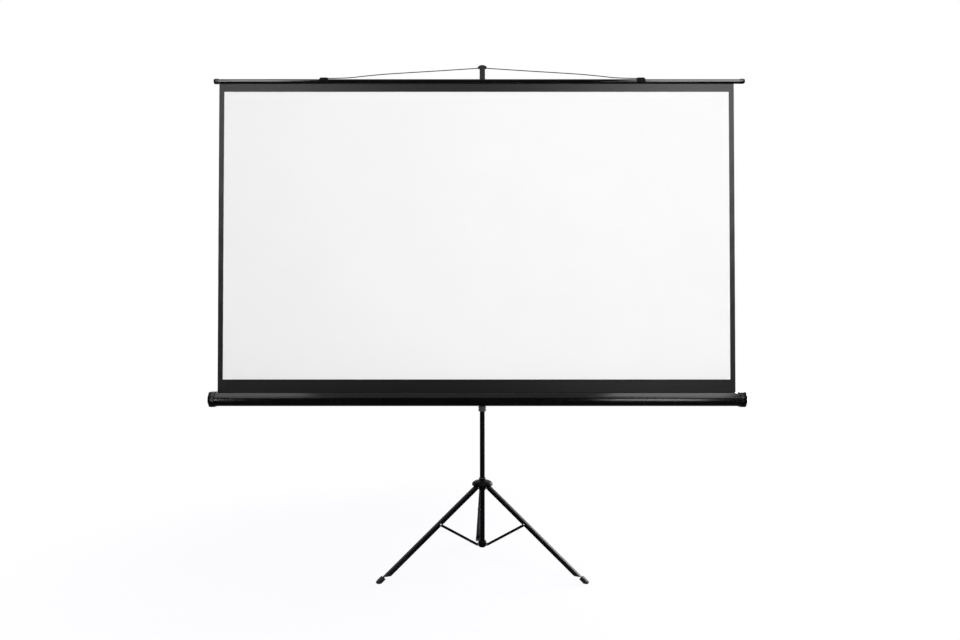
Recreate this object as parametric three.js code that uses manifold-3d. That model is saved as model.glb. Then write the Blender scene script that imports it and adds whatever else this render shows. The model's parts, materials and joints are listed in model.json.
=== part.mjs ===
// A tripod projection screen, set up: three channel legs and struts on a column, two telescopic tubes inside
// it, a roller case on the middle tube, and the fabric drawn up to a hook on the extension tube.
// Millimetres, +Z up, +X to the viewer's right, +Y away from the viewer.

import * as THREE from "three";
import { mergeVertices } from "three/addons/utils/BufferGeometryUtils.js";
import Module from "manifold-3d";

const wasm = await Module();
wasm.setup();

// Clearances
const seat = 0.3; // between pieces that seat on each other
const slideFit = 0.3; // between tubes that slide in each other
const cheekFit = 0.5; // beside a lug that turns between two cheeks

// Tripod
const footRadius = 496.5; // column axis to the middle of a boot's ground patch
const hubHeight = 356.5; // leg pivots above the floor
const pivotRadius = 26; // leg and strut pivots from the column axis
const strutArm = 233; // leg pivot to strut pivot on a leg
const strutLength = 213.5; // strut between its pivots
const legs = [
  { side: "left", azimuth: 210 },
  { side: "right", azimuth: 330 },
  { side: "rear", azimuth: 92.3 },
];
const legWidth = 22;
const legDepth = 17;
const legSheet = 1.5;
const legCorner = 4;
const legPivotInset = 5; // pivots above the open edge of the channel
const legTop = 8; // channel above its pivot
const flangeCut = 21; // slanted end of the flanges
const flangeGap = 4; // end of the flanges to the boot
const tongueWidth = 14; // web that runs on into the boot
const tongueInBoot = 28;
const bootWidth = 22;
const bootThickness = 17;
const bootRise = 6; // boot above the web
const bootSole = 12; // rubber beyond the tongue
const bootPatch = 9; // ground patch, measured across the leg
const bootEdge = 3;
const strutWidth = 14;
const strutDepth = 10.5;
const strutSheet = 1.5;
const strutCorner = 2.5;
const strutPivotInset = 4;
const rivetRadius = 2.5;
const rivetHeadRadius = 4.5;
const rivetHeadHeight = 1.7;
const rivetCrown = 2.7; // flat top of a rivet's head
const strutHeadRadius = 4;
const strutHeadHeight = 1.3;

// Hub, strut collar and column
const columnRadius = 11;
const columnWall = 1.5;
const columnBelowPivot = 12; // column past the strut pivots
const plugFlange = 2.5;
const plugDepth = 15;
const plugOverhang = 2;
const bushWall = 1.2;
const hubSleeveWall = 2.2;
const hubSleeveDrop = 13; // sleeve below the leg pivots
const hubRadius = 45.6;
const hubWall = 3;
const hubRimRise = 8; // rim above the leg pivots
const hubSkirt = 6;
const hubDome = 19;
const hubNeckRise = 40.6; // neck above the leg pivots
const hubNeckRadius = 14.5;
const hubLugRadius = 7.5;
const hubGusset = 22; // reach of the rib that joins a lug to the dome
const collarWaist = 19; // strut collar at its widest
const collarFoot = 15;
const collarShoulder = 16;
const collarRise = 14; // strut collar above its pivots
const collarLugRadius = 4.5;
const columnCollarTop = 712.8; // top of the ringed collar above the floor
const columnCollarHeight = 23;
const columnCollarRadius = 17.5;
const columnCollarGroove = 1.6;
const columnCollarBands = 5; // two rings, the groove between them
const columnInCollar = 12;

// Clamp knob of the middle tube
const knobScrewRadius = 3;
const knobBossRadius = 5;
const knobBossReach = 5; // boss beyond the collar
const knobRadius = 13;
const knobLobe = 3;
const knobLobes = 6;
const knobThickness = 13;
const knobPoints = 8; // points round each lobe

// Middle tube, extension tube and its clamp
const middleWall = 1.4;
const middleInside = 550; // middle tube below the column's collar
const middleAbove = 460; // middle tube above the column's collar
const extensionWall = 1.2;
const extensionInside = 120; // extension tube below the top of the middle tube
const clampRadius = 14;
const clampDrop = 20; // clamp below the top of the middle tube
const clampRise = 26; // clamp above the top of the middle tube
const buttonRadius = 5;
const buttonTravel = 3;
const buttonReach = 5; // button beyond the clamp
const clampEdge = 2;

// Case and bracket
const caseDepth = 57;
const caseHeight = 57;
const caseBevel = 19.4;
const caseBend = 2.5;
const caseWall = 1.3;
const caseFromMast = 37; // column axis to the back of the case
const caseOffset = -21.3; // middle of the case from the column axis
const slotWidth = 10;
const slotFromBack = 11; // middle of the slot to the back of the case
const capLength = 27;
const capWall = 4.6;
const capRecess = 15;
const capRound = 5;
const capGroove = 1;
const capGrooveFromEnd = 16.5;
const capBossRadius = 10;
const capBossLength = 12;
const capShaftDepth = 9; // shaft hole past the floor of the cap's recess
const bracketHeight = 69.6;
const bracketWall = 5.5;
const bracketWidth = 36;
const bracketPadHeight = 46; // bracket where it meets the swivel plate
const bracketShoulder = 6; // sleeve beyond the arm, above and below
const bracketEdge = 5;
const plateRadius = 24;
const plateThickness = 3;
const boltRadius = 4;
const boltHeadRadius = 7.5;
const boltHeadHeight = 4;
const boltDepth = 13; // bolt in the bracket

// Roller
const rollerRadius = 13;
const rollerWall = 1.2;
const rollerEndGap = 3;
const rollerSpare = 4; // roller beyond the fabric's nearer edge
const rollerSides = 16;
const rollTurns = 3.7; // thickness of the turns that stay on the roller
const rollerPlugLength = 16;
const shaftRadius = 6;
const shaftLength = 420;
const springWire = 2;
const springTurns = 7;
const springSteps = 10; // steps round each turn
const springStart = 40; // spring from the end of the roller
const anchorLength = 18;

// Screen, bar and hanger
const pictureWidth = 2214;
const pictureHeight = 1261;
const sideBorder = 22.5;
const topBorder = 35.2;
const bottomBorder = 56.6;
const fabricThickness = 0.6;
const fabricOffset = -4; // fabric from the middle of the case
const fabricInBar = 4;
const barRadius = 10.4;
const barWall = 1.2;
const barOffset = 8; // bar from the middle of the case
const barSlit = 2.4;
const barCapLength = 20;
const barCapRadius = 12.5;
const barCapEnd = 4;
const barCapDome = 1;
const barCapClear = 3.6; // fabric's nearer edge to a cap
const barCapGroove = 0.8;
const barCapGrooveFrom = 8; // ring groove from the end of the cap
const barCapGrooveWidth = 3.2;
const clipLength = 38;
const clipFromMast = 696; // middle of a clip from the column axis
const clipBand = 1.9;
const clipWrap = 20; // degrees that the band reaches below the bar's axis
const clipBossWidth = 8;
const clipBossTop = 17.5; // top of the boss above the bar's axis
const clipSlope = 6; // sloped ends of the boss
const wireRadius = 2;
const wireRise = 14; // wire in its clips above the bar's axis
const wireInClip = 30;
const wireLead = 8; // straight wire before a clip
const wireOnBed = 17; // wire that lies on the saddle, from its crown
const wireBedSteps = 3;
const wireLeave = 24; // where the wire has left the saddle, from the column axis
const wireLeaveDrop = 13.8; // and how far below the crown
const hookSleeveRadius = 11;
const hookSleeveTop = 20; // sleeve below the bar's axis
const hookSleeveLength = 40;
const hookSleeveCap = 5; // closed top of the sleeve
const hookCrown = 76; // saddle above the bar's axis
const postWidth = 24;
const postFront = 8;
const postBack = 4;
const saddleRadius = 27;
const saddleWidth = 38;
const saddleChord = 11;
const saddleLip = 2.8;
const grooveDepth = 4.3;
const grooveWidth = 5;

// The hanger wire between the saddle and a clip: the share of the way out, and of the drop still to come.
const wireRun = [
  [0, 1],
  [0.055, 0.947],
  [0.239, 0.765],
  [0.454, 0.567],
  [0.638, 0.385],
  [0.776, 0.19],
  [0.831, 0.098],
  [0.883, 0.045],
  [0.945, 0.012],
];

const through = 1; // cutters past the faces that they leave by

// Places worked out from those sizes
const radians = THREE.MathUtils.degToRad;
const bootHigh = legDepth - legPivotInset + bootRise;
const bootLow = bootHigh - bootThickness;
const bootMiddle = bootLow + bootPatch / 2;
const footReach = footRadius - pivotRadius;
const legToFoot = Math.sqrt(footReach ** 2 + hubHeight ** 2 - bootMiddle ** 2);
const legAngle = Math.atan2(footReach, hubHeight) - Math.atan2(bootMiddle, legToFoot);
const legWeb = legDepth - legPivotInset;
const strutAngle = Math.asin((strutArm * Math.sin(legAngle)) / strutLength);
const strutPivotHeight = hubHeight - strutArm * Math.cos(legAngle);
const collarPivotHeight = strutPivotHeight - strutLength * Math.cos(strutAngle);
const hubLugHalf = legWidth / 2 - legSheet - cheekFit;
const collarLugHalf = strutWidth / 2 - strutSheet - cheekFit;
const columnBottom = collarPivotHeight - columnBelowPivot;
const columnTop = columnCollarTop - columnCollarHeight + columnInCollar;
const columnBore = columnRadius - columnWall;
const knobHeight = (columnTop + columnCollarTop) / 2;
const middleRadius = columnBore - slideFit;
const middleBore = middleRadius - middleWall;
const middleBottom = columnCollarTop - middleInside;
const middleTop = columnCollarTop + middleAbove;
const extensionRadius = middleBore - slideFit;
const buttonHeight = middleTop + clampRise / 2;
const bracketBottom = columnCollarTop + seat;
const caseMiddle = bracketBottom + bracketHeight / 2;
const caseTop = caseMiddle + caseHeight / 2;
const caseBackY = -caseFromMast;
const caseMiddleY = caseBackY - caseDepth / 2;
const fabricY = caseBackY - slotFromBack;
const rollRadius = rollerRadius + seat + rollTurns;
const rollerY = fabricY - fabricThickness / 2 - seat - rollRadius;
const fabricWidth = pictureWidth + 2 * sideBorder;
const slotY = fabricY - caseMiddleY;
const rollerBore = rollerRadius - rollerWall;
const rollerHalf = fabricWidth / 2 + Math.abs(fabricOffset) + rollerSpare;
const capFloor = rollerHalf + rollerEndGap + capBossLength;
const shellHalf = capFloor - seat;
const capMouth = capFloor - capRecess;
const capEnd = capMouth + capLength;
const barHalf = fabricWidth / 2 + Math.abs(barOffset - fabricOffset) + barCapClear + barCapLength;
const barHeight = caseTop + bottomBorder + pictureHeight + topBorder + barRadius;
const barY = -postFront - seat - barRadius;
const sleeveTop = barHeight - hookSleeveTop;
const sleeveFloor = sleeveTop - hookSleeveCap;
const saddleCentre = barHeight + hookCrown - saddleRadius;
const saddleY = (postBack - postFront) / 2;
const wireOnSaddle = saddleRadius - grooveDepth + seat + wireRadius;

// How far along a leg the floor lies, at a distance across the leg from its pivot line.
function floorAlongLeg(across) {
  return (hubHeight + across * Math.sin(legAngle)) / Math.cos(legAngle);
}

const tongueEnd = floorAlongLeg(legWeb) - bootSole;
const bootMouth = tongueEnd - tongueInBoot;

// Building blocks

// A closed geometry as a solid that can be joined and cut, with its faces outwards.
function solid(geometry) {
  const bare = new THREE.BufferGeometry();
  bare.setAttribute("position", geometry.getAttribute("position"));
  bare.setIndex(geometry.index);
  const merged = mergeVertices(bare, 1e-4);
  const corners = merged.index.array;
  const triangles = [];
  for (let i = 0; i < corners.length; i += 3) {
    const triangle = [corners[i], corners[i + 1], corners[i + 2]];
    if (new Set(triangle).size === 3) triangles.push(...triangle);
  }
  const vertProperties = merged.getAttribute("position").array;
  const build = (list) =>
    new wasm.Manifold(new wasm.Mesh({ numProp: 3, vertProperties, triVerts: new Uint32Array(list) }));
  const made = build(triangles);
  return made.volume() < 0 ? build(triangles.reverse()) : made;
}

const asSolid = (form) => (form.isBufferGeometry ? solid(form) : form);

function join(...forms) {
  return forms.map(asSolid).reduce((whole, next) => whole.add(next));
}

function cut(base, ...tools) {
  return tools.map(asSolid).reduce((rest, tool) => rest.subtract(tool), asSolid(base));
}

function common(first, second) {
  return asSolid(first).intersect(asSolid(second));
}

// The surface of a solid.
function surface(form) {
  const { vertProperties, triVerts } = asSolid(form).getMesh();
  const geometry = new THREE.BufferGeometry();
  geometry.setAttribute("position", new THREE.BufferAttribute(vertProperties, 3));
  geometry.setIndex(new THREE.BufferAttribute(triVerts, 1));
  return geometry;
}

// A named mesh of a solid, with a material of its own.
function piece(name, form, color, roughness, metalness = 0) {
  const geometry = surface(form);
  geometry.computeVertexNormals();
  const mesh = new THREE.Mesh(geometry, new THREE.MeshStandardMaterial({ color, roughness, metalness }));
  mesh.name = name;
  return mesh;
}

const paintedSteel = (name, form) => piece(name, form, 0x0c0c0d, 0.3, 0.2);
const glossSteel = (name, form) => piece(name, form, 0x08080a, 0.12, 0.3);
const brightSteel = (name, form) => piece(name, form, 0xb9bcc0, 0.3, 1);
const blackPlastic = (name, form) => piece(name, form, 0x141415, 0.55);
const blackRubber = (name, form) => piece(name, form, 0x1b1b1c, 0.85);
const paleNylon = (name, form) => piece(name, form, 0xd8d5cb, 0.6);

// Places a mesh.
function at(mesh, x, y, z) {
  mesh.position.set(x, y, z);
  return mesh;
}

// An outline in X and Y, drawn along Z.
function prismZ(shape, from, to, curveSegments = 6) {
  const options = { depth: to - from, bevelEnabled: false, curveSegments };
  return new THREE.ExtrudeGeometry(shape, options).translate(0, 0, from);
}

// An outline in X and Z, drawn along Y.
function prismY(shape, from, to, curveSegments = 6) {
  return prismZ(shape, -to, -from, curveSegments).rotateX(Math.PI / 2);
}

const yzPlane = new THREE.Matrix4().makeBasis(
  new THREE.Vector3(0, 1, 0),
  new THREE.Vector3(0, 0, 1),
  new THREE.Vector3(1, 0, 0),
);

// An outline in Y and Z, drawn along X.
function prismX(shape, from, to, curveSegments = 6) {
  return prismZ(shape, from, to, curveSegments).applyMatrix4(yzPlane);
}

function block([x0, x1], [y0, y1], [z0, z1]) {
  const box = new THREE.BoxGeometry(x1 - x0, y1 - y0, z1 - z0);
  return box.translate((x0 + x1) / 2, (y0 + y1) / 2, (z0 + z1) / 2);
}

// A round rod along Y, and the same turned to lie along X or to stand along Z.
function rodY(radius, from, to, sides = 12) {
  return new THREE.CylinderGeometry(radius, radius, to - from, sides).translate(0, (from + to) / 2, 0);
}

function rodX(radius, from, to, sides = 12) {
  return rodY(radius, from, to, sides).rotateZ(-Math.PI / 2);
}

function rodZ(radius, from, to, sides = 12) {
  return rodY(radius, from, to, sides).rotateX(Math.PI / 2);
}

// A profile of radius and height turned about Z.
function revolve(points, sides = 24) {
  const profile = points.map(([radius, height]) => new THREE.Vector2(radius, height));
  return new THREE.LatheGeometry(profile, sides).rotateX(Math.PI / 2);
}

// A ring that stands along Z.
function ring(inner, outer, from, to, sides = 24) {
  return revolve([[inner, from], [outer, from], [outer, to], [inner, to], [inner, from]], sides);
}

// An anticlockwise polygon with every corner rounded to one radius.
function bentOutline(points, radius) {
  const shape = new THREE.Shape();
  points.forEach(([x, y], i) => {
    const corner = new THREE.Vector2(x, y);
    const before = new THREE.Vector2(...points.at(i - 1)).sub(corner).normalize();
    const after = new THREE.Vector2(...points[(i + 1) % points.length]).sub(corner).normalize();
    const inwards = before.clone().add(after).normalize();
    const centre = corner.addScaledVector(inwards, radius / Math.sin(before.angleTo(after) / 2));
    const start = Math.atan2(-before.x, before.y);
    const end = Math.atan2(after.x, -after.y);
    shape.absarc(centre.x, centre.y, radius, start + Math.PI, end + Math.PI, false);
  });
  shape.closePath();
  return shape;
}

// Tripod

// A folded sheet channel, open towards -X, with its web on the +X side.
function channelOutline(width, depth, sheet, corner, inset) {
  const half = width / 2;
  const web = depth - inset;
  const inside = corner - sheet;
  const shape = new THREE.Shape();
  shape.moveTo(-inset, -half);
  shape.absarc(web - corner, corner - half, corner, -Math.PI / 2, 0, false);
  shape.absarc(web - corner, half - corner, corner, 0, Math.PI / 2, false);
  shape.lineTo(-inset, half);
  shape.lineTo(-inset, half - sheet);
  shape.absarc(web - corner, half - corner, inside, Math.PI / 2, 0, true);
  shape.absarc(web - corner, corner - half, inside, 0, -Math.PI / 2, true);
  shape.lineTo(-inset, sheet - half);
  shape.closePath();
  return shape;
}

// A leg as it hangs when folded: its pivot at the origin, its web outwards.
function leg(name) {
  const half = legWidth / 2 + seat;
  const webInside = legWeb - legSheet;
  const outline = channelOutline(legWidth, legDepth, legSheet, legCorner, legPivotInset);
  const flangeEnd = new THREE.Shape([
    new THREE.Vector2(-legPivotInset - seat, flangeGap + flangeCut - bootMouth),
    new THREE.Vector2(webInside, flangeGap - bootMouth),
    new THREE.Vector2(webInside, -tongueEnd - seat),
    new THREE.Vector2(-legPivotInset - seat, -tongueEnd - seat),
  ]);
  const besideTongue = [-1, 1].map((side) =>
    block(
      [webInside - legCorner, legWeb + seat],
      side < 0 ? [-half, -tongueWidth / 2] : [tongueWidth / 2, half],
      [-tongueEnd - seat, flangeGap - bootMouth],
    ),
  );
  const hole = rodY(rivetRadius + seat, -half, half);
  const strutHole = rodY(rivetRadius + seat, -half, half).translate(0, 0, -strutArm);
  const channel = prismZ(outline, -tongueEnd, legTop, 3);
  return paintedSteel(name, cut(channel, prismY(flangeEnd, -half, half), ...besideTongue, hole, strutHole));
}

// The rubber boot on a leg's tongue, in the leg's own frame, flat where it meets the floor.
function boot(name) {
  const patchEnd = bootLow + bootPatch;
  const tip = floorAlongLeg(patchEnd);
  const outline = new THREE.Shape();
  outline.moveTo(bootLow, -bootMouth);
  outline.lineTo(bootLow, -floorAlongLeg(bootLow));
  outline.lineTo(patchEnd, -tip);
  outline.quadraticCurveTo(bootHigh, -tip, bootHigh, bootSole - tip);
  outline.lineTo(bootHigh, -bootMouth - bootRise);
  outline.quadraticCurveTo(bootHigh, -bootMouth, bootHigh - bootRise, -bootMouth);
  outline.closePath();
  const rubber = new THREE.ExtrudeGeometry(outline, {
    depth: bootWidth - 2 * bootEdge,
    bevelThickness: bootEdge,
    bevelSize: bootEdge,
    bevelOffset: -bootEdge,
    bevelSegments: 3,
    curveSegments: 5,
  });
  rubber.translate(0, 0, bootEdge - bootWidth / 2).rotateX(Math.PI / 2);
  const pocket = block(
    [legWeb - legSheet - seat, legWeb + seat],
    [-tongueWidth / 2 - seat, tongueWidth / 2 + seat],
    [-tongueEnd - seat, seat - bootMouth],
  );
  return blackRubber(name, cut(rubber, pocket));
}

// A strut as it hangs when folded: its upper pivot at the origin, its web outwards, and the rivet heads of
// its lower pivot on its cheeks.
function strut(name) {
  const half = strutWidth / 2;
  const web = strutDepth - strutPivotInset;
  const middle = web - strutDepth / 2;
  const end = strutDepth / 2;
  const outline = channelOutline(strutWidth, strutDepth, strutSheet, strutCorner, strutPivotInset);
  const roundEnds = new THREE.Shape();
  roundEnds.absarc(middle, 0, end, 0, Math.PI, false);
  roundEnds.absarc(middle, -strutLength, end, Math.PI, 2 * Math.PI, false);
  const channel = common(
    prismZ(outline, -strutLength - strutDepth, strutDepth, 2),
    prismY(roundEnds, -half - seat, half + seat, 4),
  );
  const heads = [-half, half].map((cheek) =>
    rodY(strutHeadRadius, cheek - strutHeadHeight, cheek + strutHeadHeight).translate(0, 0, -strutLength),
  );
  const hole = rodY(rivetRadius + seat, -half - seat, half + seat);
  return paintedSteel(name, cut(join(channel, ...heads), hole));
}

// A rivet along Y with a low domed head on each end, for a grip of twice the given half.
function rivet(name, half) {
  const inside = half + seat;
  const outside = inside + rivetHeadHeight;
  const profile = [
    [0, -outside], [rivetCrown, -outside], [rivetHeadRadius, -inside], [rivetRadius, -inside],
    [rivetRadius, inside], [rivetHeadRadius, inside], [rivetCrown, outside], [0, outside],
  ].map(([radius, height]) => new THREE.Vector2(radius, height));
  return brightSteel(name, new THREE.LatheGeometry(profile, 12));
}

// One leg with its boot, strut and rivets, turned out from the column to where it stands.
function standingLeg({ side, azimuth }) {
  const quarter = new THREE.Group();
  quarter.rotation.z = radians(azimuth);
  const legFrame = new THREE.Group();
  legFrame.position.set(pivotRadius, 0, hubHeight);
  legFrame.rotation.y = -legAngle;
  legFrame.add(leg(`leg_${side}`), boot(`boot_${side}`), rivet(`leg_rivet_${side}`, legWidth / 2));
  legFrame.add(at(rivet(`strut_rivet_${side}`, legWidth / 2), 0, 0, -strutArm));
  const strutFrame = new THREE.Group();
  strutFrame.position.set(pivotRadius + strutArm * Math.sin(legAngle), 0, strutPivotHeight);
  strutFrame.rotation.y = strutAngle;
  strutFrame.add(strut(`strut_${side}`));
  const pin = brightSteel(`collar_pin_${side}`, rodY(rivetRadius, -collarLugHalf, collarLugHalf));
  quarter.add(legFrame, strutFrame, at(pin, pivotRadius, 0, collarPivotHeight));
  return quarter;
}

// A tongue that reaches out from the column to a pivot and ends round it, with the rivet's hole.
function lug({ azimuth }, height, root, radius, half) {
  const outline = new THREE.Shape();
  outline.moveTo(root, height - radius);
  outline.absarc(pivotRadius, height, radius, -Math.PI / 2, Math.PI / 2, false);
  outline.lineTo(root, height + radius);
  outline.closePath();
  const hole = rodY(rivetRadius + seat, -half - seat, half + seat).translate(pivotRadius, 0, height);
  return surface(cut(prismY(outline, -half, half, 4), hole)).rotateZ(radians(azimuth));
}

// The sliding hub: a sleeve and neck on the column, a dome over the tops of the legs, and a lug for each.
function hub() {
  const bushRadius = columnRadius + slideFit + bushWall;
  const bore = bushRadius + seat;
  const sleeve = bore + hubSleeveWall;
  const bottom = hubHeight - hubSleeveDrop;
  const rim = hubHeight + hubRimRise;
  const eaves = rim + hubSkirt;
  const neckTop = hubHeight + hubNeckRise;
  const domeAngle = (radius, across) => Math.acos(radius / across);
  const inside = hubRadius - hubWall;
  const section = new THREE.Path();
  section.moveTo(bore, bottom);
  section.lineTo(sleeve, bottom);
  section.absellipse(0, eaves, inside, hubDome - hubWall, domeAngle(sleeve, inside), 0, true);
  section.lineTo(inside, rim);
  section.lineTo(hubRadius, rim);
  section.absellipse(0, eaves, hubRadius, hubDome, 0, domeAngle(hubNeckRadius, hubRadius), false);
  section.lineTo(hubNeckRadius, neckTop);
  section.lineTo(bore, neckTop);
  section.lineTo(bore, bottom);
  const shell = revolve(section.getPoints(3).map((point) => point.toArray()), 26);
  const root = sleeve - hubSleeveWall / 2;
  const rib = [[root, hubGusset], [-hubWall / 2, hubWall / 2], [hubHeight, eaves + hubDome / 2]];
  const gussets = legs.map(({ azimuth }) => block(...rib).rotateZ(radians(azimuth)));
  const lugs = legs.map((place) => lug(place, hubHeight, root, hubLugRadius, hubLugHalf));
  const bush = ring(columnRadius + slideFit, bushRadius, bottom, neckTop, 20);
  return [blackPlastic("hub", join(shell, ...gussets, ...lugs)), paleNylon("hub_bush", bush)];
}

// The fixed collar at the foot of the column, with a lug for each strut.
function strutCollar() {
  const bore = columnRadius + seat;
  const waistLow = collarPivotHeight - collarLugRadius;
  const waistHigh = collarPivotHeight + collarLugRadius;
  const body = revolve([
    [bore, columnBottom],
    [collarFoot, columnBottom],
    [collarWaist, waistLow],
    [collarWaist, waistHigh],
    [collarShoulder, collarPivotHeight + collarRise],
    [bore, collarPivotHeight + collarRise],
    [bore, columnBottom],
  ]);
  const root = (bore + collarFoot) / 2;
  const lugs = legs.map((place) => lug(place, collarPivotHeight, root, collarLugRadius, collarLugHalf));
  return blackPlastic("strut_collar", join(body, ...lugs));
}

// The column tube, the plug in its foot and the ringed collar on its top.
function column() {
  const plug = revolve([
    [0, columnBottom - seat - plugFlange],
    [columnRadius + plugOverhang, columnBottom - seat - plugFlange],
    [columnRadius + plugOverhang, columnBottom - seat],
    [columnBore - seat, columnBottom - seat],
    [columnBore - seat, columnBottom + plugDepth],
    [0, columnBottom + plugDepth],
  ], 20);
  const bottom = columnCollarTop - columnCollarHeight;
  const band = columnCollarHeight / columnCollarBands;
  const neck = columnCollarRadius - columnCollarGroove;
  const bore = middleRadius + slideFit;
  const ringed = revolve([
    [columnRadius + seat, bottom],
    [neck, bottom],
    [columnCollarRadius, bottom + columnCollarGroove],
    [columnCollarRadius, bottom + 2 * band],
    [neck, bottom + 2 * band],
    [neck, bottom + 3 * band],
    [columnCollarRadius, bottom + 3 * band],
    [columnCollarRadius, columnCollarTop - columnCollarGroove],
    [neck, columnCollarTop],
    [bore, columnCollarTop],
    [bore, columnTop + seat],
    [columnRadius + seat, columnTop + seat],
    [columnRadius + seat, bottom],
  ]);
  const bossEnd = columnCollarRadius + knobBossReach;
  const boss = rodY(knobBossRadius, columnRadius + columnCollarGroove, bossEnd).translate(0, 0, knobHeight);
  const screwHole = rodY(knobScrewRadius + seat, 0, bossEnd + seat).translate(0, 0, knobHeight);
  const collar = cut(join(ringed, boss), screwHole);
  return [
    paintedSteel("column_tube", ring(columnBore, columnRadius, columnBottom, columnTop)),
    blackPlastic("column_plug", plug),
    blackPlastic("column_collar", collar),
    strutCollar(),
  ];
}

// The clamp knob: a lobed grip on a screw that bears on the middle tube.
function clampKnob() {
  const start = columnCollarRadius + knobBossReach + seat;
  const grip = new THREE.Shape();
  const waves = knobPoints * knobLobes;
  for (let i = 0; i < waves; i += 1) {
    const angle = (2 * Math.PI * i) / waves;
    const radius = knobRadius - (knobLobe / 2) * (1 - Math.cos(knobLobes * angle));
    const point = [radius * Math.cos(angle), radius * Math.sin(angle)];
    if (i === 0) grip.moveTo(...point);
    else grip.lineTo(...point);
  }
  grip.closePath();
  const screw = rodY(knobScrewRadius, middleRadius + seat, start + knobThickness / 2);
  const knob = join(prismY(grip, start, start + knobThickness), screw);
  return at(blackPlastic("clamp_knob", knob), 0, 0, knobHeight);
}

// Telescopic tubes

function middleTube() {
  return glossSteel("middle_tube", ring(middleBore, middleRadius, middleBottom, middleTop));
}

// The clamp on the top of the middle tube, with the hole of its release button at the back.
function extensionClamp() {
  const bottom = middleTop - clampDrop;
  const top = middleTop + clampRise;
  const sleeve = revolve([
    [middleRadius + seat, bottom],
    [clampRadius - clampEdge, bottom],
    [clampRadius, bottom + clampEdge],
    [clampRadius, top - clampEdge],
    [clampRadius - clampEdge, top],
    [extensionRadius + slideFit, top],
    [extensionRadius + slideFit, middleTop + seat],
    [middleRadius + seat, middleTop + seat],
    [middleRadius + seat, bottom],
  ]);
  const hole = rodY(buttonRadius + seat, 0, clampRadius + seat).translate(0, 0, buttonHeight);
  return blackPlastic("extension_clamp", cut(sleeve, hole));
}

function releaseButton() {
  const inner = extensionRadius + slideFit + buttonTravel;
  const button = rodY(buttonRadius, inner, clampRadius + buttonReach);
  return at(blackPlastic("release_button", button), 0, 0, buttonHeight);
}

function extensionTube() {
  const inner = extensionRadius - extensionWall;
  const bottom = middleTop - extensionInside;
  return glossSteel("extension_tube", ring(inner, extensionRadius, bottom, sleeveFloor - seat));
}

// The hook: a sleeve on the extension tube, a flat post, and a saddle whose groove keeps the hanger wire.
function hook() {
  const sleeve = revolve([
    [0, sleeveTop],
    [hookSleeveRadius, sleeveTop],
    [hookSleeveRadius, sleeveTop - hookSleeveLength],
    [extensionRadius + seat, sleeveTop - hookSleeveLength],
    [extensionRadius + seat, sleeveFloor],
    [0, sleeveFloor],
  ]);
  const half = saddleWidth / 2;
  const arch = (radius) => {
    const angle = Math.acos(half / radius);
    const outline = new THREE.Shape();
    outline.moveTo(-half, saddleCentre + saddleChord);
    outline.lineTo(half, saddleCentre + saddleChord);
    outline.absarc(0, saddleCentre, radius, angle, Math.PI - angle, false);
    outline.closePath();
    return outline;
  };
  const inner = grooveWidth / 2;
  const outer = inner + saddleLip;
  const post = block(
    [-postWidth / 2, postWidth / 2],
    [-postFront, postBack],
    [sleeveFloor, saddleCentre + saddleChord + seat],
  );
  const lips = [
    prismY(arch(saddleRadius), saddleY - outer, saddleY - inner, 4),
    prismY(arch(saddleRadius), saddleY + inner, saddleY + outer, 4),
  ];
  const bed = prismY(arch(saddleRadius - grooveDepth), saddleY - outer, saddleY + outer, 4);
  return blackPlastic("hook", join(sleeve, post, bed, ...lips));
}

// Case, bracket and roller

// The section of the case about its middle, moved out by grow: three facets in front, square behind.
function caseOutline(grow) {
  const back = caseDepth / 2 + grow;
  const top = caseHeight / 2 + grow;
  const bevel = caseBevel + grow * (2 - Math.SQRT2);
  const bend = caseBend + Math.max(grow, 0);
  const corners = [
    [back, -top],
    [back, top],
    [bevel - back, top],
    [-back, top - bevel],
    [-back, bevel - top],
    [bevel - back, -top],
  ];
  return bentOutline(corners, bend);
}

// The shell, open at both ends, with the slot for the fabric along its top and the bolt's hole in its back.
function caseShell() {
  const inside = prismX(caseOutline(-caseWall), -shellHalf - through, shellHalf + through, 2);
  const slot = block(
    [-shellHalf - through, shellHalf + through],
    [slotY - slotWidth / 2, slotY + slotWidth / 2],
    [caseHeight / 2 - 2 * caseWall, caseHeight / 2 + caseWall],
  );
  const hole = rodY(boltRadius + seat, caseDepth / 2 - 2 * caseWall, caseDepth / 2 + caseWall);
  hole.translate(-caseOffset, 0, 0);
  const extrusion = prismX(caseOutline(0), -shellHalf, shellHalf, 2);
  return glossSteel("case_shell", cut(extrusion, inside, slot, hole));
}

// An end cap: a rounded cup over the end of the shell, with a ring groove and a boss for the roller's shaft.
function caseCap(name, side) {
  const rounded = new THREE.ExtrudeGeometry(caseOutline(capWall), {
    depth: capLength,
    bevelThickness: capRound,
    bevelSize: capRound,
    bevelOffset: -capRound,
    bevelSegments: 2,
    curveSegments: 2,
  });
  rounded.translate(0, 0, capMouth - capRound).applyMatrix4(yzPlane);
  const spare = block([capMouth - capLength, capMouth], [-caseDepth, caseDepth], [-caseDepth, caseDepth]);
  const recess = prismX(caseOutline(seat), capMouth - through, capFloor, 2);
  const grooveFrom = capEnd - capGrooveFromEnd;
  const grooveTo = grooveFrom + capGroove;
  const groove = cut(
    prismX(caseOutline(capWall + through), grooveFrom, grooveTo, 2),
    prismX(caseOutline(capWall - capGroove), grooveFrom - through, grooveTo + through, 2),
  );
  const axis = rollerY - caseMiddleY;
  const bossFrom = capFloor - capBossLength;
  const boss = rodX(capBossRadius, bossFrom, capFloor + through).translate(0, axis, 0);
  const hole = rodX(shaftRadius + seat, bossFrom - through, capFloor + capShaftDepth).translate(0, axis, 0);
  const cup = cut(join(cut(rounded, spare, recess, groove), boss), hole);
  return blackPlastic(name, surface(cup).scale(side, 1, 1));
}

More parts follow.
